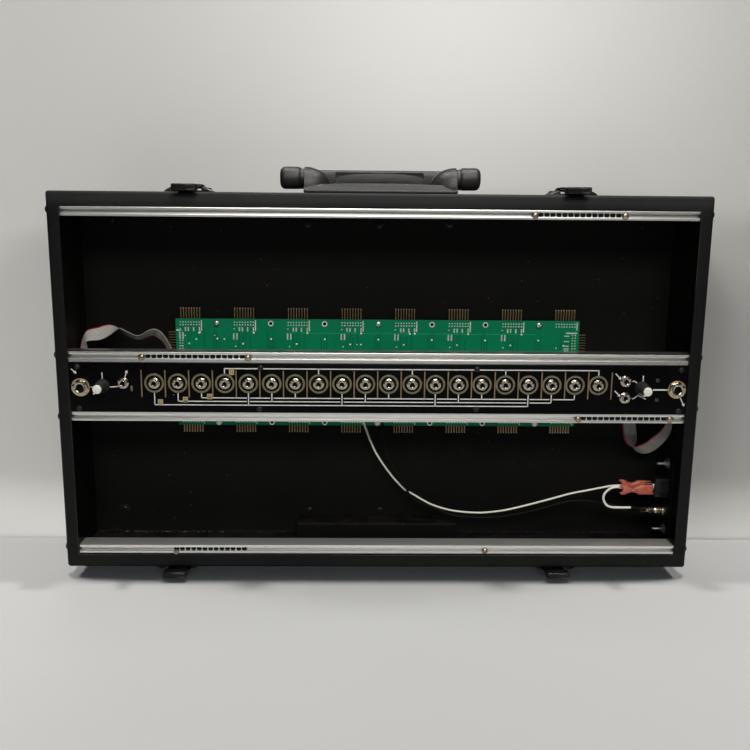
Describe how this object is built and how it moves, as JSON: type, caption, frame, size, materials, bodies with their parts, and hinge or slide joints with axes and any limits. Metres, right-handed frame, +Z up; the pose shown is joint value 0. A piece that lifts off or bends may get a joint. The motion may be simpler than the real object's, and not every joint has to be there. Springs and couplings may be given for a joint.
{
  "type": "audio patch bay case",
  "caption": "Portable black steel case for rack synthesiser modules: two rows of aluminium rails above and below a patch bay panel of linked jacks, with a carry handle and draw latches.",
  "frame": {"origin": "on the resting plane (undersides of the feet), under the middle of the bounding box", "axes": "+X to the right seen from the open front, +Y into the case from the front to the back panel, +Z up with the handle on top"},
  "size_m": [0.56, 0.108, 0.364],
  "materials": {
    "powder_coat": "fine satin black powder coat",
    "rail_aluminium": "extruded aluminium, lightly brushed",
    "strip_steel": "bright zinc-plated steel",
    "panel_black": "black glass-fibre board panel, satin, printed lines",
    "nickel": "nickel plate",
    "board_green": "green solder mask",
    "black_plastic": "moulded black plastic",
    "black_rubber": "soft black rubberised plastic",
    "brass": "plated brass",
    "latch_black": "black plated and painted steel"
  },
  "bodies": {
    "case": {"bottom_rail": "rail_aluminium", "bus_jack_01": "nickel", "bus_jack_02": "nickel", "bus_jack_03": "nickel", "bus_jack_04": "nickel", "bus_jack_05": "nickel", "bus_jack_06": "nickel", "bus_jack_07": "nickel", "bus_jack_08": "nickel", "bus_jack_09": "nickel", "bus_jack_10": "nickel", "bus_jack_11": "nickel", "bus_jack_12": "nickel", "bus_jack_13": "nickel", "bus_jack_14": "nickel", "bus_jack_15": "nickel", "bus_jack_16": "nickel", "bus_jack_17": "nickel", "bus_jack_18": "nickel", "bus_jack_19": "nickel", "bus_jack_20": "nickel", "case_shell": "powder_coat", "dc_power_socket": "brass", "handle_base": "black_rubber", "inlet_plate": "powder_coat", "input_jack_1": "nickel", "input_jack_2": "nickel", "input_jack_3": "nickel", "jack_board": "board_green", "left_foot": "black_rubber", "line_jack_left": "nickel", "line_jack_right": "nickel", "lower_left_latch_base": "latch_black", "lower_middle_rail": "rail_aluminium", "lower_right_latch_base": "latch_black", "patch_panel": "panel_black", "power_board": "board_green", "power_switch_body": "black_plastic", "right_foot": "black_rubber", "stiffening_bracket": "powder_coat", "top_rail": "rail_aluminium", "upper_left_latch_base": "latch_black", "upper_middle_rail": "rail_aluminium", "upper_right_latch_base": "latch_black"},
    "handle": {"handle_grip": "black_rubber"},
    "knob_left": {"level_knob_left": "black_plastic"},
    "knob_right": {"level_knob_right": "black_plastic"},
    "switch_rocker": {"power_switch_rocker": "black_plastic"},
    "top_strip": {"top_threaded_strip": "strip_steel"},
    "upper_middle_strip": {"upper_middle_threaded_strip": "strip_steel"},
    "lower_middle_strip": {"lower_middle_threaded_strip": "strip_steel"},
    "bottom_strip": {"bottom_threaded_strip": "strip_steel"},
    "upper_left_lever": {"upper_left_latch_lever": "latch_black"},
    "upper_left_hook": {"upper_left_latch_hook": "latch_black"},
    "upper_right_lever": {"upper_right_latch_lever": "latch_black"},
    "upper_right_hook": {"upper_right_latch_hook": "latch_black"},
    "lower_left_lever": {"lower_left_latch_lever": "latch_black"},
    "lower_left_hook": {"lower_left_latch_hook": "latch_black"},
    "lower_right_lever": {"lower_right_latch_lever": "latch_black"},
    "lower_right_hook": {"lower_right_latch_hook": "latch_black"}
  },
  "joints": [
    {"name": "handle_hinge", "type": "hinge", "parent": "case", "child": "handle", "pos_m": [-0.0009, -0.00495, 0.3542], "axis": [1, 0, 0], "range_deg": [0, 120]},
    {"name": "upper_left_lever_hinge", "type": "hinge", "parent": "case", "child": "upper_left_lever", "pos_m": [-0.163, -0.00495, 0.3452], "axis": [-1, 0, 0], "range_deg": [0, 100]},
    {"name": "upper_left_hook_hinge", "type": "hinge", "parent": "upper_left_lever", "child": "upper_left_hook", "pos_m": [-0.163, -0.01195, 0.3452], "axis": [-1, 0, 0], "range_deg": [-100, 0]},
    {"name": "upper_right_lever_hinge", "type": "hinge", "parent": "case", "child": "upper_right_lever", "pos_m": [0.162, -0.00495, 0.3452], "axis": [-1, 0, 0], "range_deg": [0, 100]},
    {"name": "upper_right_hook_hinge", "type": "hinge", "parent": "upper_right_lever", "child": "upper_right_hook", "pos_m": [0.162, -0.01195, 0.3452], "axis": [-1, 0, 0], "range_deg": [-100, 0]},
    {"name": "lower_left_lever_hinge", "type": "hinge", "parent": "case", "child": "lower_left_lever", "pos_m": [-0.182, -0.00495, 0.0058], "axis": [1, 0, 0], "range_deg": [0, 100]},
    {"name": "lower_left_hook_hinge", "type": "hinge", "parent": "lower_left_lever", "child": "lower_left_hook", "pos_m": [-0.182, -0.01195, 0.0058], "axis": [1, 0, 0], "range_deg": [-100, 0]},
    {"name": "lower_right_lever_hinge", "type": "hinge", "parent": "case", "child": "lower_right_lever", "pos_m": [0.1615, -0.00495, 0.0058], "axis": [1, 0, 0], "range_deg": [0, 100]},
    {"name": "lower_right_hook_hinge", "type": "hinge", "parent": "lower_right_lever", "child": "lower_right_hook", "pos_m": [0.1615, -0.01195, 0.0058], "axis": [1, 0, 0], "range_deg": [-100, 0]},
    {"name": "knob_left_turn", "type": "hinge", "parent": "case", "child": "knob_left", "pos_m": [-0.2398, -0.03485, 0.1766], "axis": [0, 1, 0], "range_deg": [0, 300]},
    {"name": "knob_right_turn", "type": "hinge", "parent": "case", "child": "knob_right", "pos_m": [0.2282, -0.03485, 0.177], "axis": [0, 1, 0], "range_deg": [0, 300]},
    {"name": "switch_rock", "type": "hinge", "parent": "case", "child": "switch_rocker", "pos_m": [0.2766, 0.01505, 0.0718], "axis": [0, -1, 0], "range_deg": [0, 24]},
    {"name": "top_strip_slide", "type": "slide", "parent": "case", "child": "top_strip", "axis": [1, 0, 0], "range_m": [-0.404, 0.07]},
    {"name": "upper_middle_strip_slide", "type": "slide", "parent": "case", "child": "upper_middle_strip", "axis": [1, 0, 0], "range_m": [-0.069, 0.39]},
    {"name": "lower_middle_strip_slide", "type": "slide", "parent": "case", "child": "lower_middle_strip", "axis": [1, 0, 0], "range_m": [-0.45, 0.019]},
    {"name": "bottom_strip_slide", "type": "slide", "parent": "case", "child": "bottom_strip", "axis": [1, 0, 0], "range_m": [-0.093, 0.205]}
  ],
  "couplings": [
    {"joint": "upper_left_hook_hinge", "follows": "upper_left_lever_hinge", "ratio": -1},
    {"joint": "upper_right_hook_hinge", "follows": "upper_right_lever_hinge", "ratio": -1},
    {"joint": "lower_left_hook_hinge", "follows": "lower_left_lever_hinge", "ratio": -1},
    {"joint": "lower_right_hook_hinge", "follows": "lower_right_lever_hinge", "ratio": -1}
  ]
}
